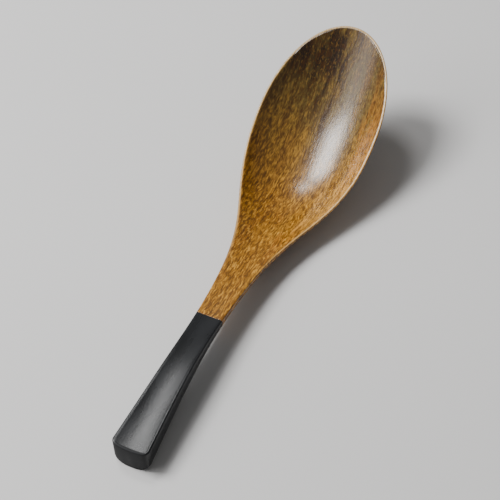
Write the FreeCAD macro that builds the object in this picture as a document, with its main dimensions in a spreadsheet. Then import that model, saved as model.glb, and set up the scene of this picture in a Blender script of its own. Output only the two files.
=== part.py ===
import FreeCAD, Part
import os
import Sketcher
from FreeCAD import Placement, Rotation, Vector

# A carved wooden spoon with a black coat of paint on its handle.
#
# It lies on a table as it would rest there: on the heel of its handle and on the back of
# its bowl, with the tip of the bowl raised. Y runs from the butt of the handle to the tip,
# X is the width and Z is up. The origin is on the table, under the middle of the length.
#
# Places along the spoon have names, from the butt to the tip:
#   butt, palm, grip, waist, neck, throat, shoulder, heel, flank, belly,
#   cheek, nose, brow, tip
# The handle runs from the butt to the throat. The bowl is widest at its belly.

SIZES = [
    # length and the runs that divide it
    ("length", 190.0),
    ("bowl_length", 100.0),
    ("nose_length", 36.0),
    # widths that the outline is drawn to
    ("butt_width", 14.3),
    ("grip_width", 10.6),
    ("waist_width", 8.8),
    ("throat_width", 14.2),
    ("shoulder_width", 23.0),
    ("heel_width", 36.4),
    ("bowl_width", 48.6),
    ("butt_bulge", 0.9),
    # height of the top face above the table
    ("butt_top", 10.0),
    ("palm_top", 11.5),
    ("grip_top", 12.4),
    ("waist_top", 11.6),
    ("neck_top", 10.5),
    ("throat_top", 9.5),
    ("shoulder_top", 9.1),
    ("heel_top", 10.8),
    ("flank_top", 16.1),
    ("belly_top", 23.2),
    ("tip_top", 41.4),
    # depth of the wood under the top face, along the middle
    ("butt_depth", 10.8),
    ("palm_depth", 9.6),
    ("grip_depth", 8.2),
    ("waist_depth", 6.7),
    ("neck_depth", 6.2),
    ("throat_depth", 6.5),
    ("shoulder_depth", 8.0),
    ("heel_depth", 11.0),
    ("flank_depth", 14.6),
    ("belly_depth", 15.0),
    ("tip_depth", 1.6),
    # upright part of each side, under the top face
    ("butt_side", 8.0),
    ("palm_side", 6.8),
    ("grip_side", 5.2),
    ("waist_side", 2.9),
    ("neck_side", 2.2),
    ("throat_side", 1.5),
    ("shoulder_side", 0.8),
    ("bowl_side", 0.5),
    ("tip_span", 16.0),
    # the hollow of the bowl: its rim, the wood left under it, and where it runs out
    ("lip", 1.3),
    ("throat_floor", 5.9),
    ("shoulder_floor", 4.1),
    ("heel_floor", 2.4),
    ("bowl_floor", 2.2),
    ("run_out_radius", 21.0),
    ("run_out_rise", 0.3),
    # the coat of paint and the rounded edges
    ("coat_length", 60.5),
    ("coat_thickness", 0.3),
    ("corner_radius", 2.2),
    ("arris_radius", 0.5),
    ("keel_radius", 0.8),
]

STOCK_MARGIN = 0.8      # wood left outside the outline before it is sawn
STOCK_REACH = 60.0      # how far the sawing sketches reach past the spoon
TIP_OVERRUN = 0.3       # how far the stock runs on past the tip
BUTT_OVERRUN = 3.0      # how far the stock runs on past the butt
CUTTER_HEIGHT = 24.0    # how tall the hollow's cutter is, from its floor up
CUTTER_HALF = 0.9       # half the cutter's width, over the radius of its arc
ROUND_HANDLE = 0.5523   # handle length of a curve that follows a quarter of an ellipse
LONGEST_GAP = 22.5      # between cross-sections, past which another is put between them
DEGREE = 3              # of the outline's curves
NOTHING = 1e-6          # lengths and shares below this count as none

OUTLINE_WIDTHS = ["butt_width", "grip_width", "waist_width", "throat_width",
                  "shoulder_width", "heel_width", "bowl_width", "bowl_width"]

STEM = "(sizes.length - sizes.bowl_length)"
BACK = "(sizes.bowl_length - sizes.nose_length)"
BELLY = "(sizes.length - sizes.nose_length)"

doc = FreeCAD.newDocument("spoon")
sheet = doc.addObject("Spreadsheet::Sheet", "sizes")


def fill_sheet():
    for row, (name, value) in enumerate(SIZES, start=1):
        sheet.set("A%d" % row, name)
        sheet.set("B%d" % row, str(value))
        sheet.setAlias("B%d" % row, name)
    doc.recompute()


def number(expression):
    """The value that an expression has now."""
    return float(sheet.evalExpression(expression))


def cell(name):
    return "sizes." + name


# ---------------------------------------------------------------- the outline

def outline_curve(poles):
    """A cubic curve clamped at both ends, with evenly spaced knots."""
    spans = len(poles) - DEGREE
    knots = [float(knot) for knot in range(spans + 1)]
    multiplicities = [DEGREE + 1] + [1] * (spans - 1) + [DEGREE + 1]
    curve = Part.BSplineCurve()
    curve.buildFromPolesMultsKnots(poles, multiplicities, knots, False, DEGREE)
    return curve


def on_outline(parameter, expressions):
    """The expression of a point of the outline, a blend of the control values around it."""
    terms = []
    for index, expression in enumerate(expressions):
        unit = [Vector(float(other == index), 0, 0) for other in range(len(expressions))]
        share = outline_curve(unit).value(parameter).x
        if share > NOTHING:
            terms.append("%.9f * %s" % (share, expression))
    return "(" + " + ".join(terms) + ")"


def control_stations(inset):
    """Where the outline's control points lie along the spoon."""
    butt = "(sizes.butt_bulge + %s)" % inset
    stem = [butt] + ["%s * %d / 3" % (STEM, step) for step in (1, 2, 3)]
    back = ["(%s + %s * %d / 4)" % (STEM, BACK, step) for step in (1, 2, 3, 4)]
    return stem + back


def control_halves(inset):
    return ["(%s / 2 - %s)" % (cell(name), inset) for name in OUTLINE_WIDTHS]


# ---------------------------------------------------------------- sketching

def origin_plane(body, role):
    return next(item for item in body.Origin.OriginFeatures if item.Role == role)


def new_sketch(body, name, role):
    sketch = body.newObject("Sketcher::SketchObject", name)
    sketch.AttachmentSupport = [(origin_plane(body, role), "")]
    sketch.MapMode = "FlatFace"
    return sketch


def bind(sketch, kind, where, expression):
    """Add a dimension and tie it to the sheet."""
    value = number(expression)
    index = sketch.addConstraint(Sketcher.Constraint(kind, *where, value))
    sketch.setExpression("Constraints[%d]" % index, expression)


def bind_point(sketch, geometry, corner, across, along, side):
    """Tie a point to its distances from the origin; side is -1, 0 or 1."""
    if side > 0:
        bind(sketch, "DistanceX", (-1, 1, geometry, corner), across)
    elif side < 0:
        bind(sketch, "DistanceX", (geometry, corner, -1, 1), across)
    else:
        sketch.addConstraint(Sketcher.Constraint("PointOnObject", geometry, corner, -2))
    bind(sketch, "DistanceY", (-1, 1, geometry, corner), along)


def bound_curve(sketch, controls, side):
    """A curve whose control points are tied to the sheet. Each is (across, along)."""
    poles = [Vector(side * number(across), number(along), 0) for across, along in controls]
    curve = sketch.addGeometry(outline_curve(poles))
    first_control = sketch.GeometryCount
    sketch.exposeInternalGeometry(curve)
    for step, (across, along) in enumerate(controls):
        place = side if number(across) > NOTHING else 0
        bind_point(sketch, first_control + step, 3, across, along, place)


def rectangle(sketch, left, low, right, high):
    corners = [Vector(left, low, 0), Vector(right, low, 0),
               Vector(right, high, 0), Vector(left, high, 0)]
    lines = []
    for start, end in zip(corners, corners[1:] + corners[:1]):
        lines.append(sketch.addGeometry(Part.LineSegment(start, end)))
    for line, following in zip(lines, lines[1:] + lines[:1]):
        sketch.addConstraint(Sketcher.Constraint("Coincident", line, 2, following, 1))
    for line in lines:
        flat = line in (lines[0], lines[2])
        sketch.addConstraint(Sketcher.Constraint("Horizontal" if flat else "Vertical", line))


def wide_rectangle(sketch):
    """A rectangle that reaches well past the spoon on every side."""
    reach = number("sizes.length") + STOCK_REACH
    rectangle(sketch, -reach, -reach, reach, 2 * reach)


def section_sketch(body, name, station, half, top, keel, radius):
    """A cross-section: a flat top, two upright sides and an arc underneath."""
    wide = number(half)
    high = number(top)
    round_radius = number(radius)
    centre = number(keel) + round_radius
    shoulder = centre - (round_radius ** 2 - wide ** 2) ** 0.5
    sketch = new_sketch(body, name, "XZ_Plane")
    sketch.setExpression(".AttachmentOffset.Base.z", "-(%s)" % station)
    top_line = sketch.addGeometry(Part.LineSegment(Vector(-wide, high, 0), Vector(wide, high, 0)))
    right = sketch.addGeometry(Part.LineSegment(Vector(wide, high, 0), Vector(wide, shoulder, 0)))
    arc = sketch.addGeometry(
        Part.Arc(Vector(wide, shoulder, 0), Vector(0, number(keel), 0), Vector(-wide, shoulder, 0)))
    left = sketch.addGeometry(Part.LineSegment(Vector(-wide, shoulder, 0), Vector(-wide, high, 0)))
    # the arc is stored counter-clockwise, from its left end to its right end
    for first, first_end, second, second_end in (
            (top_line, 2, right, 1), (right, 2, arc, 2), (arc, 1, left, 1), (left, 2, top_line, 1)):
        sketch.addConstraint(Sketcher.Constraint("Coincident", first, first_end, second, second_end))
    sketch.addConstraint(Sketcher.Constraint("Horizontal", top_line))
    sketch.addConstraint(Sketcher.Constraint("Vertical", right))
    sketch.addConstraint(Sketcher.Constraint("Vertical", left))
    sketch.addConstraint(Sketcher.Constraint("PointOnObject", arc, 3, -2))
    bind(sketch, "DistanceX", (-1, 1, top_line, 2), half)
    bind(sketch, "DistanceX", (top_line, 1, top_line, 2), "2 * (%s)" % half)
    bind(sketch, "DistanceY", (-1, 1, top_line, 2), top)
    bind(sketch, "DistanceY", (-1, 1, arc, 3), "(%s) + (%s)" % (keel, radius))
    bind(sketch, "Radius", (arc,), radius)
    return sketch


def arc_radius(half, sagitta):
    return "((%s)^2 + (%s)^2) / (2 * (%s))" % (half, sagitta, sagitta)


# ---------------------------------------------------------------- stations

# where each cross-section lies on the outline, counted in spans of its curve
PLACES = {
    "butt": 0.0, "palm": 0.23, "grip": 0.56, "waist": 1.0, "neck": 1.6, "throat": 2.3,
    "shoulder": 3.2, "heel": 4.05, "flank": 4.65, "belly": 5.0,
}

# the upright part of the side at each of them
SIDES = {
    "butt": "butt_side", "palm": "palm_side", "grip": "grip_side", "waist": "waist_side",
    "neck": "neck_side", "throat": "throat_side", "shoulder": "shoulder_side",
    "heel": "bowl_side", "flank": "bowl_side", "belly": "bowl_side",
}

# the wood left under the hollow, which has run out at the neck
FLOORS = {
    "throat": "throat_floor", "shoulder": "shoulder_floor", "heel": "heel_floor",
    "flank": "bowl_floor", "belly": "bowl_floor",
}

# how far along the nose each of its stations is, from the belly to just past the tip
NOSE_RUNS = {
    "cheek": "(sizes.nose_length / 4)",
    "nose": "(sizes.nose_length / 2)",
    "brow": "(sizes.nose_length * 3 / 4)",
    "tip": "(sizes.nose_length + %s)" % TIP_OVERRUN,
}


def nose_top(run):
    """The rim climbs in a straight line from the belly to the tip."""
    return "(sizes.belly_top + (sizes.tip_top - sizes.belly_top) * %s / sizes.nose_length)" % run


def nose_fall(run, length):
    """How much of the belly's depth is left at a run along the nose: none at its length."""
    return "(1 - (%s)^2 / (%s)^2)" % (run, length)


def stock_section(body, name, station, half, top, depth, side):
    radius = arc_radius(half, "(%s - %s)" % (depth, side))
    keel = "(%s - %s)" % (top, depth)
    return section_sketch(body, body.Name + "_" + name, station, half, top, keel, radius)


def stock_station(place, along):
    """How far along the spoon a cross-section of the stock lies."""
    return on_outline(place, along) if place else "(0 - %s)" % BUTT_OVERRUN


def stock_places(along):
    """The named cross-sections and, where two lie far apart, one midway between them."""
    names = list(PLACES)
    places = [(names[0], names[0], PLACES[names[0]])]
    for before, after in zip(names, names[1:]):
        start = number(stock_station(PLACES[before], along))
        end = number(stock_station(PLACES[after], along))
        if end - start > LONGEST_GAP:
            places.append((before, after, (PLACES[before] + PLACES[after]) / 2))
        places.append((after, after, PLACES[after]))
    return places


def midway(first, second):
    """A size halfway between two others, which may be the same one."""
    if first == second:
        return cell(first)
    return "((%s + %s) / 2)" % (cell(first), cell(second))


def stock_sections(body, inset):
    """The cross-sections of the wood before the outline is sawn."""
    along = control_stations(inset)
    halves = control_halves(inset)
    sections = []
    for before, after, place in stock_places(along):
        name = before if before == after else before + "_" + after
        station = stock_station(place, along)
        half = "(%s + %s)" % (on_outline(place, halves), STOCK_MARGIN)
        top = "(%s - %s)" % (midway(before + "_top", after + "_top"), inset)
        depth = "(%s - 2 * %s)" % (midway(before + "_depth", after + "_depth"), inset)
        side = midway(SIDES[before], SIDES[after])
        sections.append(stock_section(body, name, station, half, top, depth, side))
    for name, run in NOSE_RUNS.items():
        station = "(%s + %s)" % (BELLY, run)
        half = "(sizes.tip_span / 2)"
        depth = cell("tip_depth")
        if name != "tip":
            fall = nose_fall(run, "sizes.nose_length")
            half = "(%s * sqrt(%s) + %s)" % (halves[-1], fall, STOCK_MARGIN)
            depth = "(sizes.tip_depth + (sizes.belly_depth - sizes.tip_depth) * %s)" % fall
        top = "(%s - %s)" % (nose_top(run), inset)
        depth = "(%s - 2 * %s)" % (depth, inset)
        sections.append(stock_section(body, name, station, half, top, depth, cell("bowl_side")))
    return sections


def saw_sketch(body, inset):
    """The plan of everything outside the spoon's outline."""
    sketch = new_sketch(body, body.Name + "_saw", "XY_Plane")
    sketch.AttachmentOffset = Placement(Vector(0, 0, 2 * STOCK_REACH), Rotation())
    halves = control_halves(inset)
    along = control_stations(inset)
    half = halves[-1]
    tip = "(sizes.length - %s)" % inset
    nose = [
        (half, BELLY),
        (half, "(%s + %s * (%s - %s))" % (BELLY, ROUND_HANDLE, tip, BELLY)),
        ("(%s * %s)" % (ROUND_HANDLE, half), tip),
        ("0", tip),
    ]
    for side in (1, -1):
        bound_curve(sketch, list(zip(halves, along)), side)
        bound_curve(sketch, nose, side)
    butt_arc(sketch, halves[0], along[0], inset)
    wide_rectangle(sketch)
    return sketch


def butt_arc(sketch, half, along, inset):
    """The slightly bulging end of the handle."""
    wide = number(half)
    end = number(along)
    low = number("0 + " + inset)
    arc = sketch.addGeometry(Part.Arc(Vector(-wide, end, 0), Vector(0, low, 0), Vector(wide, end, 0)))
    bind_point(sketch, arc, 1, half, along, -1)
    bind_point(sketch, arc, 2, half, along, 1)
    bind(sketch, "Radius", (arc,), arc_radius(half, cell("butt_bulge")))


# ---------------------------------------------------------------- features

def loft(body, kind, name, sections):
    feature = body.newObject("PartDesign::" + kind, name)
    feature.Profile = sections[0]
    feature.Sections = sections[1:]
    doc.recompute()
    return feature


def through_pocket(body, name, sketch):
    feature = body.newObject("PartDesign::Pocket", name)
    feature.Profile = sketch
    feature.Type = "ThroughAll"
    doc.recompute()
    return feature


def drop_pocket(body, name, level):
    """Plane off everything below a level."""
    sketch = new_sketch(body, name + "_plan", "XY_Plane")
    sketch.setExpression(".AttachmentOffset.Base.z", level)
    wide_rectangle(sketch)
    return through_pocket(body, name, sketch)


def face_kind(face):
    """top, under or wall, by the way that a face looks."""
    if face.Surface.TypeId in ("Part::GeomSurfaceOfExtrusion", "Part::GeomCylinder"):
        return "wall"
    first, last, low, high = face.ParameterRange
    upward = face.normalAt((first + last) / 2, (low + high) / 2).z
    return "top" if upward > 0 else "under"


def edges_between(shape, kinds):
    """Names of the edges where a face of one kind meets a face of the other."""
    faces = [(face_kind(face), face.Edges) for face in shape.Faces]
    names = []
    for index, edge in enumerate(shape.Edges, start=1):
        around = {kind for kind, edges in faces if any(edge.isSame(other) for other in edges)}
        if around == set(kinds):
            names.append("Edge%d" % index)
    return names


def butt_corners(shape):
    """Names of the two upright edges at the end of the handle."""
    names = []
    for index, edge in enumerate(shape.Edges, start=1):
        start = edge.firstVertex().Point
        end = edge.lastVertex().Point
        slant = abs(start.x - end.x) + abs(start.y - end.y)
        if slant < NOTHING and start.y < number("sizes.coat_length"):
            names.append("Edge%d" % index)
    return names


def fillet(body, name, base, names, radius):
    feature = body.newObject("PartDesign::Fillet", name)
    feature.Base = (base, names)
    feature.setExpression("Radius", radius)
    doc.recompute()
    return feature


def carved_form(name, inset):
    """The spoon's outer form, sawn from the stock, drawn in by the inset all round."""
    body = doc.addObject("PartDesign::Body", name)
    body.setExpression(".Placement.Base.y", "-sizes.length / 2")
    loft(body, "AdditiveLoft", name + "_stock", stock_sections(body, inset))
    sawn = through_pocket(body, name + "_sawn", saw_sketch(body, inset))
    corners = fillet(body, name + "_corners", sawn, butt_corners(sawn.Shape),
                     "sizes.corner_radius - %s" % inset)
    keel = fillet(body, name + "_keel", corners, edges_between(corners.Shape, ("under", "wall")),
                  "sizes.keel_radius - %s" % inset)
    fillet(body, name + "_arris", keel, edges_between(keel.Shape, ("top", "wall")),
           "sizes.arris_radius - %s" % inset)
    drop_pocket(body, name + "_rest", inset)
    return body


def hollow_section(body, name, station, floor_level, radius):
    """A cross-section of the hollow's cutter. All of its arcs span the same angle."""
    half = "(%s * %s)" % (CUTTER_HALF, radius)
    top = "(%s + %s)" % (floor_level, CUTTER_HEIGHT)
    return section_sketch(body, "hollow_" + name, station, half, top, floor_level, radius)


def hollow_sections(body):
    """The cutter's cross-sections. In the bowl, each arc meets the top face a lip inside the outline."""
    along = control_stations("0")
    halves = control_halves("0")
    sections = []
    for name, floor in FLOORS.items():
        inner_half = "(%s - sizes.lip)" % on_outline(PLACES[name], halves)
        hollow = "(%s - %s)" % (cell(name + "_depth"), cell(floor))
        radius = "(%s)" % arc_radius(inner_half, hollow)
        if name == "throat":
            radius = cell("run_out_radius")
        station = on_outline(PLACES[name], along)
        floor_level = "(%s - %s)" % (cell(name + "_top"), hollow)
        sections.append(hollow_section(body, name, station, floor_level, radius))
    return [run_out_section(body, along)] + sections + hollow_nose_sections(body)


def run_out_section(body, along):
    """Where the cutter has left the wood, at the neck."""
    floor_level = "(sizes.neck_top + sizes.run_out_rise)"
    neck = on_outline(PLACES["neck"], along)
    return hollow_section(body, "neck", neck, floor_level, cell("run_out_radius"))


def hollow_nose_sections(body):
    """The hollow rises to the tip as the nose narrows, and its arcs tighten with it."""
    inner_half = "(sizes.bowl_width / 2 - sizes.lip)"
    inner_length = "(sizes.nose_length - sizes.lip)"
    deepest = "(sizes.belly_depth - sizes.bowl_floor)"
    sections = []
    for name, run in NOSE_RUNS.items():
        hollow = "(%s * %s)" % (deepest, nose_fall(run, inner_length))
        radius = "(%s^2 / (2 * %s) + %s / 2)" % (inner_half, deepest, hollow)
        floor_level = "(%s - %s)" % (nose_top(run), hollow)
        station = "(%s + %s)" % (BELLY, run)
        sections.append(hollow_section(body, name, station, floor_level, radius))
    return sections


def boolean(kind, name, base, tool):
    feature = doc.addObject("Part::" + kind, name)
    feature.Base = base
    feature.Tool = tool
    doc.recompute()
    return feature


def coat_zone():
    """The end of the handle that is dipped in paint."""
    zone = doc.addObject("Part::Box", "coat_zone")
    zone.Length = 2 * STOCK_REACH
    zone.Height = 2 * STOCK_REACH
    zone.setExpression("Width", "sizes.coat_length + %s" % STOCK_REACH)
    zone.Placement.Base = Vector(-STOCK_REACH, 0, -STOCK_REACH)
    zone.setExpression(".Placement.Base.y", "-sizes.length / 2 - %s" % STOCK_REACH)
    return zone


def check_everything():
    for item in doc.Objects:
        if "Invalid" in item.State or "Error" in item.State:
            raise RuntimeError("%s failed: %s" % (item.Label, item.State))


def write_parts(nodes):
    for node in nodes:
        if node.Shape.isNull() or not node.Shape.isValid():
            raise RuntimeError("%s has no valid shape" % node.Label)
    os.makedirs("parts", exist_ok=True)
    for node in nodes:
        node.Shape.exportStep("parts/%s.step" % node.Label)
        print("%s: %.1f mm3, %d solids" % (node.Label, node.Shape.Volume, len(node.Shape.Solids)))


fill_sheet()
outer = carved_form("outer", "0")
loft(outer, "SubtractiveLoft", "hollow", hollow_sections(outer))
core = carved_form("core", "sizes.coat_thickness")
dipped = boolean("Common", "dipped", outer, coat_zone())
handle_paint = boolean("Cut", "handle_paint", dipped, core)
spoon_body = boolean("Cut", "spoon_body", outer, handle_paint)
doc.recompute()
check_everything()
write_parts([spoon_body, handle_paint])
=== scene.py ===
import math

import bmesh
import bpy
from mathutils import Matrix, Vector


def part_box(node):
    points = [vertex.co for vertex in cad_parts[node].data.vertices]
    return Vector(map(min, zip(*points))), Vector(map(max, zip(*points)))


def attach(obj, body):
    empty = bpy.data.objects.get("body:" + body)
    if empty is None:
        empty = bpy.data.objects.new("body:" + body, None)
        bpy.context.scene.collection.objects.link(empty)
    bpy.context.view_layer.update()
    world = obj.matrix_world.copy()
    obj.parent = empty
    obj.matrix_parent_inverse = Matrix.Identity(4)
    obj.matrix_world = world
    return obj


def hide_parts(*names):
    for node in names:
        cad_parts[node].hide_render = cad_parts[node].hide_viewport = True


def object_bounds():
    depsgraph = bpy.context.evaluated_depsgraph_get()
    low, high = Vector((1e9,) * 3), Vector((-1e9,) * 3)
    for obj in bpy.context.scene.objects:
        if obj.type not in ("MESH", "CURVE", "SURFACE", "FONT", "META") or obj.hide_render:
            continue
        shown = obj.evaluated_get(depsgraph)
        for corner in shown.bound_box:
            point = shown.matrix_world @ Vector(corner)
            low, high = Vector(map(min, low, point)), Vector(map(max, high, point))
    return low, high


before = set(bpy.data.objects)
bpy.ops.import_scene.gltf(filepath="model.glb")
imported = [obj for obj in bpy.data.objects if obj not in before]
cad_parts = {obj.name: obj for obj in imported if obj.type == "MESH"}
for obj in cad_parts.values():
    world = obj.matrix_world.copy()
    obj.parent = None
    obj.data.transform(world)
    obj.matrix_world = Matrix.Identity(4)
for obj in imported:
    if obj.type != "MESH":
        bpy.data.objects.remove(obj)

# A carved wooden spoon with a satin black coat on its handle.
#
# The frame is the CAD's: Y runs from the butt of the handle to the tip of the bowl, X is
# across and Z is up from the table. The spoon's form is worked out in millimetres, measured
# from the butt, and put in the frame in metres.

MM = 0.001
cad_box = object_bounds()
BUTT_Y = cad_box[0][1]
PAINT_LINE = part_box("handle_paint")[1][1]

# ---------------------------------------------------------------- the spoon's form

# Along the spoon from the butt: half width, height of the top face, depth of the wood
# under it, upright part of the side, depth of the hollow. The handle's top is dished a hair.
ALONG, HALF, TOP, DEPTH, SIDE, HOLLOW = range(6)
PLACES = [
    (0.9, 7.15, 10.1, 10.8, 8.0, 0.34),     # butt
    (18.9, 6.09, 11.5, 9.6, 6.8, 0.38),     # palm
    (38.6, 5.23, 12.4, 8.2, 5.2, 0.20),     # grip
    (57.5, 5.08, 11.6, 6.7, 3.0, 0.10),     # waist
    (77.3, 6.12, 10.5, 6.2, 2.2, 0.14),     # neck
    (94.0, 8.53, 9.5, 6.5, 1.6, 0.95),      # throat
    (109.2, 13.04, 9.1, 8.0, 1.2, 3.9),     # shoulder
    (124.3, 19.01, 10.8, 11.0, 1.1, 8.6),   # heel
    (139.9, 23.33, 16.1, 14.6, 1.1, 12.4),  # flank
    (154.0, 24.3, 23.2, 15.0, 1.1, 12.8),   # belly, where the bowl is widest
]
BELLY = 154.0
NOSE = 36.0             # from the belly to the tip
NOSE_SLOPE = 0.5        # how steeply the rim climbs along the nose
LIP = 1.0               # width of the rim round the hollow, with its rounded edges
CORNER = 2.2            # radius of the butt's corners
BUTT_BULGE = 0.9        # how far the end of the handle bulges
BULGE_REACH = 12.0      # how far up the handle the bulge fades out
LIP_DROP = 0.16         # how far the rim is rounded down into the hollow
SHALLOWEST = 0.08       # of the hollow
COAT = 0.3              # thickness of the paint
COAT_GAP = 0.02         # between the paint and the wood under it
INWARDS = -1.0          # the side that the paint's wall grows to
PAINT_EDGE = 0.15       # how far the paint's edge is softened
STEP_RUN = 0.02         # length of the wood's step down under the paint
LEAST = 1e-6            # stands for nothing where a zero would divide or compare badly
WELD = 0.001            # of the board's own units, in which a layer is 1 deep

# rounding of the upper and the lower edge of the side, along the spoon
ARRIS = [(0.0, 0.6), (40.0, 0.5), (77.0, 0.7), (100.0, 0.45), (125.0, 0.32), (154.0, 0.32)]
KEEL = [(0.0, 0.9), (40.0, 0.8), (77.0, 0.7), (100.0, 0.6), (125.0, 0.5), (154.0, 0.5)]

COLUMNS = 40            # of faces across the board
CORNER_ROWS = 7         # and of faces along it: at the butt's corners,
BODY_ROWS = 120         # from there to the belly,
NOSE_ROWS = 30          # and round the nose
ROWS = CORNER_ROWS + BODY_ROWS + NOSE_ROWS
CROWDING = 1.5          # how much closer the columns stand towards the rim
ROUND_STEPS = 4         # faces across each rounded edge
FLAT_LAYERS = 2         # from the hollow to where the upper edge starts to round
UPPER_LAYERS = FLAT_LAYERS + ROUND_STEPS
LIP_HIGHLIGHT_LAYERS = 3         # of the rim, painted pale as a painted highlight
LAYERS = UPPER_LAYERS + ROUND_STEPS + 2     # down to the inner line of the underside
QUARTER = math.pi / 2


def smooth_through(points, end_slope=0.0):
    """A smooth curve through the points, with no bend at its start and a set slope at its end."""
    count = len(points)
    steps = [points[i + 1][0] - points[i][0] for i in range(count - 1)]
    rises = [(points[i + 1][1] - points[i][1]) / steps[i] for i in range(count - 1)]
    weights = [0.0] * count
    bends = [0.0] * count
    for i in range(1, count - 1):
        pivot = 2.0 * (steps[i - 1] + steps[i]) - steps[i - 1] * weights[i - 1]
        weights[i] = steps[i] / pivot
        bends[i] = (6.0 * (rises[i] - rises[i - 1]) - steps[i - 1] * bends[i - 1]) / pivot
    last = 6.0 * (end_slope - rises[-1]) / steps[-1]
    bends[-1] = (last - bends[-2]) / (2.0 - weights[-2])
    for i in range(count - 2, 0, -1):
        bends[i] -= weights[i] * bends[i + 1]

    def height(along):
        i = 0
        while i < count - 2 and along > points[i + 1][0]:
            i += 1
        step = steps[i]
        before = (points[i + 1][0] - along) / step
        after = 1.0 - before
        curve = (before ** 3 - before) * bends[i] + (after ** 3 - after) * bends[i + 1]
        return before * points[i][1] + after * points[i + 1][1] + curve * step * step / 6.0

    return height


def profile(column, end_slope=0.0):
    return smooth_through([(place[ALONG], place[column]) for place in PLACES], end_slope)


body_half = profile(HALF)
body_top = profile(TOP, NOSE_SLOPE)
body_depth = profile(DEPTH)
body_side = profile(SIDE)
body_hollow = profile(HOLLOW)
arris_radius = smooth_through(ARRIS)
keel_radius = smooth_through(KEEL)


def left_of_nose(along, length):
    """What is left of the bowl's depth at a place past the belly: all at 1, none at 0."""
    run = max(along - BELLY, 0.0) / length
    return max(1.0 - run * run, LEAST)


def top_level(along):
    """Height of the top face and of the rim, which climbs straight along the nose."""
    if along > BELLY:
        return body_top(BELLY) + NOSE_SLOPE * (along - BELLY)
    return body_top(along)


def arc_rise(across, half, sagitta):
    """How far an arc that rises by the sagitta at its half width has risen at a place."""
    radius = (half * half + sagitta * sagitta) / (2.0 * sagitta)
    across = min(abs(across), radius)
    return radius - math.sqrt(radius * radius - across * across)


def underside(across, along):
    """Height of the back of the spoon."""
    left = left_of_nose(along, NOSE)
    place = min(along, BELLY)
    side = body_side(place)
    sagitta = (body_depth(place) - side) * left
    half = body_half(place) * math.sqrt(left)
    return top_level(along) - side - sagitta + arc_rise(across, half, sagitta)


def hollow_depth(along):
    return max(body_hollow(min(along, BELLY)), SHALLOWEST) * left_of_nose(along, NOSE - LIP)


def hollow_level(across, along):
    """Height of the hollow, a round arc from one inner line to the other."""
    depth = hollow_depth(along)
    half = (body_half(min(along, BELLY)) - LIP) * math.sqrt(left_of_nose(along, NOSE - LIP))
    return top_level(along) - depth + min(arc_rise(across, half, depth), depth)


def plan_point(across, row, inset):
    """A point of the spoon's plan, drawn in from its outline; across runs from -1 to 1."""
    if row < CORNER_ROWS:
        turn = QUARTER * row / CORNER_ROWS
        radius = CORNER - inset
        along = inset + radius * (1.0 - math.cos(turn))
        x = across * (body_half(CORNER) - inset - radius * (1.0 - math.sin(turn)))
    elif row <= CORNER_ROWS + BODY_ROWS:
        along = CORNER + (BELLY - CORNER) * (row - CORNER_ROWS) / BODY_ROWS
        x = across * (body_half(along) - inset)
    else:
        past = (row - CORNER_ROWS - BODY_ROWS) / NOSE_ROWS
        past = 1.0 - (1.0 - past) ** CROWDING
        x = across * (body_half(BELLY) - inset) * math.sqrt(1.0 - past * past / 2.0)
        along = BELLY + past * (NOSE - inset) * math.sqrt(1.0 - across * across / 2.0)
    fade = max(1.0 - along / BULGE_REACH, 0.0) ** 2
    return x, along + BUTT_BULGE * fade * (x / body_half(CORNER)) ** 2


def edge_step(layer, arris, keel):
    """One layer of the edge: how far in from the outline, and how far along its rounding."""
    if layer == 0:
        return LIP, 0.0
    if layer < FLAT_LAYERS:
        return (LIP + arris) / 2.0, 0.0
    if layer <= UPPER_LAYERS:
        turn = QUARTER * (layer - FLAT_LAYERS) / ROUND_STEPS
        return arris * (1.0 - math.sin(turn)), arris * (1.0 - math.cos(turn))
    if layer < LAYERS:
        turn = QUARTER * (layer - UPPER_LAYERS - 1) / ROUND_STEPS
        return keel * (1.0 - math.cos(turn)), keel * (1.0 - math.sin(turn))
    return LIP, 0.0


def rim_point(across, row, layer):
    """A point of the edge: in from the inner line, over the arris, down and under the side."""
    inner_x, inner_y = plan_point(across, row, LIP)
    outer_x, outer_y = plan_point(across, row, 0.0)
    place = min(outer_y, BELLY)
    inset, rounding = edge_step(layer, arris_radius(place), keel_radius(place))
    if layer == 0:
        rounding = LIP_DROP * min(hollow_depth(outer_y), 1.0)
    share = inset / LIP
    x = outer_x + (inner_x - outer_x) * share
    y = outer_y + (inner_y - outer_y) * share
    if layer <= UPPER_LAYERS:
        return x, y, top_level(y) - rounding
    return x, y, underside(x, y) + rounding


def on_edge(across, row):
    """Whether a point of the board is on its outline."""
    return abs(across) > 1.0 - LEAST or row in (0, ROWS)


def spoon_point(across, row, layer):
    """Where a point of the board comes to lie on the spoon."""
    spread = math.copysign(1.0 - (1.0 - abs(across)) ** CROWDING, across)
    if on_edge(across, row):
        x, y, z = rim_point(spread, row, layer)
    else:
        x, y = plan_point(spread, row, LIP)
        z = hollow_level(x, y) if layer == 0 else underside(x, y)
    return Vector((x * MM, BUTT_Y + y * MM, max(z, 0.0) * MM))


def make_board():
    """Two sheets with a layered edge between them: across and along from -1 to 1."""
    board = bmesh.new()
    bmesh.ops.create_grid(board, x_segments=COLUMNS, y_segments=ROWS, size=1.0)
    edge = [line for line in board.edges if line.is_boundary]
    for layer in range(LAYERS):
        bmesh.ops.extrude_edge_only(board, edges=edge)
        edge = [line for line in board.edges if line.is_boundary and line not in edge]
        loose = {corner for line in edge for corner in line.verts}
        bmesh.ops.translate(board, vec=(0, 0, -1), verts=list(loose))
    lower = Matrix.Translation((0, 0, -LAYERS))
    bmesh.ops.create_grid(board, x_segments=COLUMNS, y_segments=ROWS, size=1.0, matrix=lower)
    bmesh.ops.remove_doubles(board, verts=board.verts, dist=WELD)
    return board


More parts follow.
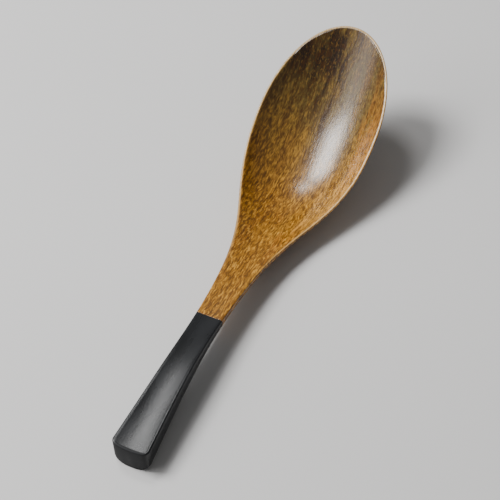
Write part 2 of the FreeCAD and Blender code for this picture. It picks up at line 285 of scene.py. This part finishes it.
def carve_spoon():
    """The board carried to the spoon's form, with the rim marked where a pale highlight is painted.
    """
    board = make_board()
    # marks the layers of the rim that get the painted highlight
    rim = board.verts.layers.float.new("rim")
    for corner in board.verts:
        row = round((corner.co.y + 1.0) / 2.0 * ROWS)
        layer = round(-corner.co.z)
        corner[rim] = float(on_edge(corner.co.x, row) and 0 < layer <= LIP_HIGHLIGHT_LAYERS)
        corner.co = spoon_point(corner.co.x, row, layer)
    bmesh.ops.recalc_face_normals(board, faces=board.faces)
    for face in board.faces:
        face.smooth = True
    return board


def cut_across(form, along, **sides):
    """Cut the form at a place along it, and clear away a side if that is asked."""
    geometry = form.verts[:] + form.edges[:] + form.faces[:]
    bmesh.ops.bisect_plane(form, geom=geometry, dist=LEAST * MM, plane_co=(0, along, 0),
                           plane_no=(0, 1, 0), **sides)


def new_piece(name, form, material):
    mesh = bpy.data.meshes.new(name)
    form.to_mesh(mesh)
    form.free()
    mesh.materials.append(material)
    piece = bpy.data.objects.new(name, mesh)
    bpy.context.scene.collection.objects.link(piece)
    return piece


def make_wood(material):
    """The whole spoon, drawn in under the paint by the paint's thickness."""
    form = carve_spoon()
    for along in (PAINT_EDGE, 0.0, -STEP_RUN):
        cut_across(form, PAINT_LINE + along * MM)
    form.normal_update()
    middle = PAINT_LINE - STEP_RUN * MM / 2.0
    under_paint = [corner for corner in form.verts if corner.co.y < middle]
    moves = [corner.normal * COAT * MM for corner in under_paint]
    for corner, move in zip(under_paint, moves):
        corner.co -= move
    piece = new_piece("spoon_wood", form, material)
    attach(piece, "root")
    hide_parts("spoon_body")


def make_paint(material):
    """The coat of paint: a thin sleeve with a closed end over the handle."""
    form = carve_spoon()
    cut_across(form, PAINT_LINE, clear_outer=True)
    cut_across(form, PAINT_LINE - PAINT_EDGE * MM)
    piece = new_piece("handle_coat", form, material)
    wall = piece.modifiers.new("wall", "SOLIDIFY")
    wall.thickness = (COAT - COAT_GAP) * MM
    wall.offset = INWARDS
    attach(piece, "root")
    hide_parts("handle_paint")


# ---------------------------------------------------------------- materials

def linear(value):
    """A part of a colour made linear, from its 8-bit value."""
    value = value / 255.0
    return value / 12.92 if value <= 0.04045 else ((value + 0.055) / 1.055) ** 2.4


def srgb(red, green, blue):
    return (linear(red), linear(green), linear(blue), 1.0)


# the wood's colours
GOLDEN = srgb(146, 97, 22)
OLIVE = srgb(116, 95, 44)
RUST = srgb(124, 72, 22)
HONEY = srgb(170, 124, 44)
# painted light: amber on the bowl's right edge, which faces the lamps
PAINTED_LIT_AMBER = srgb(186, 120, 34)
# painted highlight: a pale straw patch where the bowl's highlight falls
PAINTED_HIGHLIGHT = srgb(214, 162, 84)
HEARTWOOD = srgb(15, 11, 8)
PORE = srgb(62, 36, 8)
FLECK = srgb(66, 38, 8)
THREAD = srgb(222, 164, 68)
# painted highlight: the pale colour of the rim's lip
PAINTED_LIP_HIGHLIGHT = srgb(206, 168, 106)

# the paint's and the floor's
BLACK = srgb(20, 21, 22)
WORN_BLACK = srgb(30, 31, 33)
PAPER = srgb(206, 205, 204)
PAPER_SHADE = srgb(200, 199, 198)


class Bench:
    """A node tree with short names for the nodes that a finish is made of."""

    def __init__(self, tree):
        self.tree = tree

    def node(self, kind, **settings):
        made = self.tree.nodes.new("ShaderNode" + kind)
        for name, value in settings.items():
            setattr(made, name, value)
        return made

    def feed(self, value, socket):
        if isinstance(value, bpy.types.NodeSocket):
            self.tree.links.new(value, socket)
        else:
            socket.default_value = value

    def math(self, operation, first, second=0.0):
        made = self.node("Math", operation=operation)
        self.feed(first, made.inputs[0])
        self.feed(second, made.inputs[1])
        return made.outputs[0]

    def noise(self, vector, scale, detail=3.0, roughness=0.5, distortion=0.0):
        made = self.node("TexNoise")
        self.feed(vector, made.inputs["Vector"])
        made.inputs["Scale"].default_value = scale
        made.inputs["Detail"].default_value = detail
        made.inputs["Roughness"].default_value = roughness
        made.inputs["Distortion"].default_value = distortion
        return made.outputs["Fac"]

    def stretched(self, vector, scale, turn=(0, 0, 0)):
        made = self.node("Mapping")
        self.feed(vector, made.inputs["Vector"])
        made.inputs["Scale"].default_value = scale
        made.inputs["Rotation"].default_value = turn
        return made.outputs[0]

    def between(self, value, low, high, most=1.0):
        """Nothing at the low value, the most at the high one, and smooth between them."""
        made = self.node("MapRange", interpolation_type="SMOOTHSTEP")
        self.feed(value, made.inputs["Value"])
        made.inputs["From Min"].default_value = low
        made.inputs["From Max"].default_value = high
        made.inputs["To Max"].default_value = most
        return made.outputs[0]

    def mix(self, share, first, second):
        made = self.node("Mix", data_type="RGBA")
        self.feed(share, made.inputs["Factor"])
        self.feed(first, made.inputs["A"])
        self.feed(second, made.inputs["B"])
        return made.outputs["Result"]

    def bump(self, height, strength, distance):
        made = self.node("Bump")
        made.inputs["Strength"].default_value = strength
        made.inputs["Distance"].default_value = distance
        self.feed(height, made.inputs["Height"])
        return made.outputs[0]


# noises: scale, detail, roughness
WEAR_PATCHES = (140.0, 4.0, 0.55)
WEAR_SPECKS = (1500.0, 2.0, 0.6)
WEAR_RUN = (1.0, 0.35, 1.0)         # drawn out along the spoon
WANDER_DETAIL = 1.5
NOISE_MEAN = 0.5


def make_fine_wear():
    """A group that gives a soft unevenness, for the feel of a brushed or rubbed surface."""
    group = bpy.data.node_groups.new("fine_wear", "ShaderNodeTree")
    group.interface.new_socket("Vector", in_out="INPUT", socket_type="NodeSocketVector")
    group.interface.new_socket("Patches", in_out="OUTPUT", socket_type="NodeSocketFloat")
    group.interface.new_socket("Specks", in_out="OUTPUT", socket_type="NodeSocketFloat")
    bench = Bench(group)
    start = group.nodes.new("NodeGroupInput")
    end = group.nodes.new("NodeGroupOutput")
    along = bench.stretched(start.outputs["Vector"], WEAR_RUN)
    bench.feed(bench.noise(along, *WEAR_PATCHES), end.inputs["Patches"])
    bench.feed(bench.noise(along, *WEAR_SPECKS), end.inputs["Specks"])
    return group


def start_material(name):
    """A new material, with its bench, its shader and the place on the piece."""
    material = bpy.data.materials.new(name)
    material.use_nodes = True
    bench = Bench(material.node_tree)
    shader = material.node_tree.nodes["Principled BSDF"]
    place = bench.node("TexCoord").outputs["Object"]
    return material, bench, shader, place


def add_wear(bench, group, place):
    wear = bench.node("Group")
    wear.node_tree = group
    bench.feed(place, wear.inputs["Vector"])
    return wear


def roughen(bench, wear, least, spread):
    """A roughness from the least up, uneven with the wear."""
    return bench.math("ADD", bench.math("MULTIPLY", wear.outputs["Patches"], spread), least)


def split_place(bench, place):
    axes = bench.node("SeparateXYZ")
    bench.feed(place, axes.inputs[0])
    return axes.outputs["X"], axes.outputs["Y"]


def wander(bench, place, scale, reach):
    """A place pushed about by a soft noise, so that what reads it runs wavy."""
    drift = bench.node("TexNoise")
    bench.feed(place, drift.inputs["Vector"])
    drift.inputs["Scale"].default_value = scale
    drift.inputs["Detail"].default_value = WANDER_DETAIL
    centred = bench.node("VectorMath", operation="SUBTRACT")
    bench.feed(drift.outputs["Color"], centred.inputs[0])
    centred.inputs[1].default_value = (NOISE_MEAN, NOISE_MEAN, NOISE_MEAN)
    push = bench.node("VectorMath", operation="SCALE")
    bench.feed(centred.outputs[0], push.inputs[0])
    push.inputs["Scale"].default_value = reach
    moved = bench.node("VectorMath", operation="ADD")
    bench.feed(place, moved.inputs[0])
    bench.feed(push.outputs[0], moved.inputs[1])
    return moved.outputs[0]


# how far the grain wanders: scale, and reach in metres
SOFT_WANDER = (60.0, 0.0032)
TIGHT_WANDER = (260.0, 0.0016)

# grain: how it is drawn out across, along and up, then its noise
BANDS = ((1.0, 0.08, 0.22), (330.0, 4.0, 0.6))
STREAKS = ((1.0, 0.09, 0.22), (1500.0, 3.0, 0.65))
MOTTLE = ((1.0, 0.30, 0.40), (150.0, 4.0, 0.65))
FLECKS = ((1.0, 0.20, 0.35), (1900.0, 2.0, 0.6, 0.2))
FLECK_TURN = (0, 0, 0.35)           # flecks lie aslant, as in interlocked grain

# how a colour covers the ground: it starts at its pattern's first value, is full at the second,
# and then covers the third's share
RUST_COVER = (0.46, 0.66, 0.42)
HONEY_COVER = (0.48, 0.72, 0.42)
PORE_COVER = (0.48, 0.66, 0.66)
FLECK_COVER = (0.48, 0.62, 0.66)
THREAD_COVER = (0.46, 0.34, 0.48)
HEART_COVER = (0.38, 0.58, 0.24)
HEART_EVEN = 0.74                   # of the heartwood, between its bands
# the painted highlight on the lip
LIP_HIGHLIGHT_COVER = (0.35, 0.9, 0.62)
# share of the painted light on the bowl's right edge
LIT_AMBER_COVER = 0.75
# share of the painted highlight patch at the heel
HIGHLIGHT_COVER = 0.50
THREADS_LOST = 0.75                 # of the threads, towards the tip

# where a colour lies, in metres along and across the frame
WOBBLE = 0.05                       # how far the bands push these places about
OLIVE_ALONG = (0.018, 0.076)
# where the painted light on the bowl's right edge lies
LIT_AMBER_ACROSS = (0.0110, 0.0205)
LIT_AMBER_ALONG = (0.088, 0.062)
# where the painted highlight patch lies in the bowl
HIGHLIGHT_ACROSS = (0.004, 0.015)
HIGHLIGHT_START = (0.010, 0.030)
HIGHLIGHT_END = (0.060, 0.038)
HEART_ACROSS = (-0.006, 0.006)      # towards the left
HEART_ALONG = (0.050, 0.086)
TIP_SHADE = (0.040, 0.09, 0.46)     # from, to, and how dark the whole tip is
# where along the spoon the lip's painted highlight starts
LIP_HIGHLIGHT_ALONG = (-0.020, 0.020)

WOOD_ROUGHNESS = (0.22, 0.14)       # the least, and how much the wear adds
WOOD_COAT = 0.15
WOOD_COAT_ROUGHNESS = 0.2
FLECK_RELIEF = -0.7                 # against the streaks' -1
WOOD_BUMP = (0.60, 0.00010)         # strength, and depth in metres

PAINT_ROUGHNESS = (0.20, 0.14)
PAINT_GLOSS = 0.3
PAINT_PATCHES = (0.35, 0.7)
SPECK_RELIEF = 0.35
PAINT_BUMP = (0.25, 0.00012)
MATT_END = (1.6, 0.8, 0.4)          # worn matt at the butt: from, to, and how much rougher


def draw_grain(bench, place, grain, turn=(0, 0, 0)):
    drawn_out, noise = grain
    return bench.noise(bench.stretched(place, drawn_out, turn), *noise)


def warm_wood(bench, place, bands, towards_tip):
    """The ground colour: golden at the neck and olive brown in the bowl, in soft bands."""
    ground = bench.mix(towards_tip, GOLDEN, OLIVE)
    ground = bench.mix(bench.between(bands, *RUST_COVER), ground, RUST)
    mottle = draw_grain(bench, place, MOTTLE)
    return bench.mix(bench.between(mottle, *HONEY_COVER), ground, HONEY)


def paint_light_on_right_side(bench, ground, along, drifting_across):
    """Painted light: a lighter amber along the right edge of the bowl, whose wall faces the lamps,
    and a painted highlight, a pale straw patch at the heel.
    """
    lit_amber = bench.between(drifting_across, *LIT_AMBER_ACROSS)
    lit_amber = bench.math("MULTIPLY", lit_amber, bench.between(along, *LIT_AMBER_ALONG, LIT_AMBER_COVER))
    ground = bench.mix(lit_amber, ground, PAINTED_LIT_AMBER)
    highlight_patch = bench.between(along, *HIGHLIGHT_START)
    highlight_patch = bench.math("MULTIPLY", highlight_patch, bench.between(along, *HIGHLIGHT_END))
    highlight_patch = bench.math("MULTIPLY", highlight_patch, bench.between(drifting_across, *HIGHLIGHT_ACROSS, HIGHLIGHT_COVER))
    return bench.mix(highlight_patch, ground, PAINTED_HIGHLIGHT)


def darken_tip(bench, ground, along, leftward, drifting_along, bands):
    """Dark heartwood at the left of the tip, drawn out along the grain."""
    heart = bench.between(leftward, *HEART_ACROSS)
    heart = bench.math("MULTIPLY", heart, bench.between(drifting_along, *HEART_ALONG))
    depth = bench.math("ADD", bench.between(bands, *HEART_COVER), HEART_EVEN)
    heart = bench.math("MULTIPLY", heart, depth)
    dark = bench.math("MAXIMUM", heart, bench.between(along, *TIP_SHADE))
    return bench.mix(dark, ground, HEARTWOOD)


def lay_fine_grain(bench, ground, streaks, flecks, towards_tip):
    """Dark pores and flecks, and pale threads between them that fade towards the tip."""
    ground = bench.mix(bench.between(streaks, *PORE_COVER), ground, PORE)
    ground = bench.mix(bench.between(flecks, *FLECK_COVER), ground, FLECK)
    left = bench.math("SUBTRACT", 1.0, bench.math("MULTIPLY", towards_tip, THREADS_LOST))
    threads = bench.math("MULTIPLY", bench.between(flecks, *THREAD_COVER), left)
    return bench.mix(threads, ground, THREAD)


def paint_lip_highlight(bench, ground, along):
    """A painted highlight: the lip is painted pale, standing in for the light that its rounded edge
    catches.
    """
    rim = bench.node("Attribute", attribute_name="rim").outputs["Fac"]
    lip = bench.math("MULTIPLY", bench.between(rim, *LIP_HIGHLIGHT_COVER), bench.between(along, *LIP_HIGHLIGHT_ALONG))
    return bench.mix(lip, ground, PAINTED_LIP_HIGHLIGHT)


def oiled_wood(wear_group):
    """Golden brown hardwood with an interlocked grain, under a satin clear coat, with painted
    highlights on the lip and in the bowl and painted light along the bowl's right edge.
    """
    material, bench, shader, place = start_material("oiled_wood")
    wear = add_wear(bench, wear_group, place)
    across, along = split_place(bench, place)
    wavy = wander(bench, place, *SOFT_WANDER)
    bands = draw_grain(bench, wavy, BANDS)
    streaks = draw_grain(bench, wavy, STREAKS)
    flecks = draw_grain(bench, wander(bench, place, *TIGHT_WANDER), FLECKS, FLECK_TURN)

    wobble = bench.math("MULTIPLY", bench.math("SUBTRACT", bands, NOISE_MEAN), WOBBLE)
    drifting_along = bench.math("ADD", along, wobble)
    drifting_across = bench.math("ADD", across, wobble)
    leftward = bench.math("SUBTRACT", wobble, across)
    towards_tip = bench.between(drifting_along, *OLIVE_ALONG)

    ground = warm_wood(bench, place, bands, towards_tip)
    # painted light along the bowl's right edge and a painted highlight patch at the heel
    ground = paint_light_on_right_side(bench, ground, along, drifting_across)
    ground = darken_tip(bench, ground, along, leftward, drifting_along, bands)
    ground = lay_fine_grain(bench, ground, streaks, flecks, towards_tip)
    bench.feed(paint_lip_highlight(bench, ground, along), shader.inputs["Base Color"])
    bench.feed(roughen(bench, wear, *WOOD_ROUGHNESS), shader.inputs["Roughness"])
    shader.inputs["Coat Weight"].default_value = WOOD_COAT
    shader.inputs["Coat Roughness"].default_value = WOOD_COAT_ROUGHNESS
    relief = bench.math("SUBTRACT", bench.math("MULTIPLY", flecks, FLECK_RELIEF), streaks)
    bench.feed(bench.bump(relief, *WOOD_BUMP), shader.inputs["Normal"])
    return material


def satin_black(wear_group):
    """Black paint, brushed on and rubbed to a satin, and worn matt at the very end."""
    material, bench, shader, place = start_material("satin_black")
    wear = add_wear(bench, wear_group, place)
    along = split_place(bench, place)[1]
    patches = wear.outputs["Patches"]
    shade = bench.mix(bench.between(patches, *PAINT_PATCHES), BLACK, WORN_BLACK)
    bench.feed(shade, shader.inputs["Base Color"])
    start, end, rougher = MATT_END
    matt = bench.between(along, BUTT_Y + start * MM, BUTT_Y + end * MM, rougher)
    rough = bench.math("ADD", roughen(bench, wear, *PAINT_ROUGHNESS), matt)
    bench.feed(rough, shader.inputs["Roughness"])
    shader.inputs["Specular IOR Level"].default_value = PAINT_GLOSS
    specks = bench.math("MULTIPLY", wear.outputs["Specks"], SPECK_RELIEF)
    relief = bench.math("ADD", patches, specks)
    bench.feed(bench.bump(relief, *PAINT_BUMP), shader.inputs["Normal"])
    return material


# ---------------------------------------------------------------- floor, lights, camera

def look_at(place, target, roll=0.0):
    """The turn of a camera or lamp at a place that faces a target."""
    turn = (Vector(target) - Vector(place)).to_track_quat("-Z", "Y").to_matrix().to_4x4()
    return Matrix.Translation(place) @ turn @ Matrix.Rotation(math.radians(roll), 4, "Z")


FLOOR_HALF = 3.0
FLOOR_CLOUDS = (6.0, 2.0)           # scale and detail of its slight unevenness
FLOOR_ROUGHNESS = 0.9
FLOOR_GLOSS = 0.15


def add_floor():
    sheet = bmesh.new()
    bmesh.ops.create_grid(sheet, x_segments=1, y_segments=1, size=FLOOR_HALF)
    material, bench, shader, place = start_material("floor_paper")
    tone = bench.mix(bench.noise(place, *FLOOR_CLOUDS), PAPER, PAPER_SHADE)
    bench.feed(tone, shader.inputs["Base Color"])
    shader.inputs["Roughness"].default_value = FLOOR_ROUGHNESS
    shader.inputs["Specular IOR Level"].default_value = FLOOR_GLOSS
    new_piece("floor", sheet, material)


def add_panel(name, place, size, watts):
    """A square lamp that faces the middle of the spoon."""
    lamp = bpy.data.lights.new(name, "AREA")
    lamp.shape = "SQUARE"
    lamp.size = size
    lamp.energy = watts
    holder = bpy.data.objects.new(name, lamp)
    holder.matrix_world = look_at(place, LAMP_TARGET)
    bpy.context.scene.collection.objects.link(holder)


# soft panels: azimuth from +Y towards +X, elevation, size and power
LAMPS = [
    ("window", -102.0, 54.0, 0.42, 19.5),
    ("wall_panel", -130.0, 33.0, 0.62, 4.2),
    ("handle_panel", -58.0, 62.0, 0.26, 4.2),
]
LAMP_DISTANCE = 1.2
LAMP_TARGET = (0.0, 0.0, 0.0)
ROOM_WHITE = (1.0, 1.0, 1.0, 1.0)
ROOM_STRENGTH = 0.20


def out_at(azimuth, elevation):
    """A lamp's place in a direction from the middle of the spoon."""
    level = math.cos(math.radians(elevation)) * LAMP_DISTANCE
    turn = math.radians(azimuth)
    height = math.sin(math.radians(elevation)) * LAMP_DISTANCE
    return (math.sin(turn) * level, math.cos(turn) * level, height)


def add_lights():
    for name, azimuth, elevation, size, watts in LAMPS:
        add_panel(name, out_at(azimuth, elevation), size, watts)
    world = bpy.data.worlds.new("studio")
    world.use_nodes = True
    background = world.node_tree.nodes["Background"]
    background.inputs["Color"].default_value = ROOM_WHITE
    background.inputs["Strength"].default_value = ROOM_STRENGTH
    bpy.context.scene.world = world


CAMERA_TARGET = (-0.00148, 0.00138, 0.008)
CAMERA_AZIMUTH = 28.1
CAMERA_ELEVATION = 50.0
CAMERA_DISTANCE = 0.5536
CAMERA_ROLL = -3.0
SENSOR = 36.0
FOCAL_SHARE = 3.0       # focal length over the frame's width


def add_camera():
    azimuth = math.radians(CAMERA_AZIMUTH)
    elevation = math.radians(CAMERA_ELEVATION)
    forward = Vector((-math.sin(azimuth) * math.cos(elevation),
                      math.cos(azimuth) * math.cos(elevation), -math.sin(elevation)))
    place = Vector(CAMERA_TARGET) - forward * CAMERA_DISTANCE
    data = bpy.data.cameras.new("camera")
    data.sensor_width = SENSOR
    data.lens = SENSOR * FOCAL_SHARE
    camera = bpy.data.objects.new("camera", data)
    camera.matrix_world = look_at(place, CAMERA_TARGET, CAMERA_ROLL)
    bpy.context.scene.collection.objects.link(camera)
    bpy.context.scene.camera = camera


fine_wear = make_fine_wear()
make_wood(oiled_wood(fine_wear))
make_paint(satin_black(fine_wear))
add_floor()
add_lights()
add_camera()
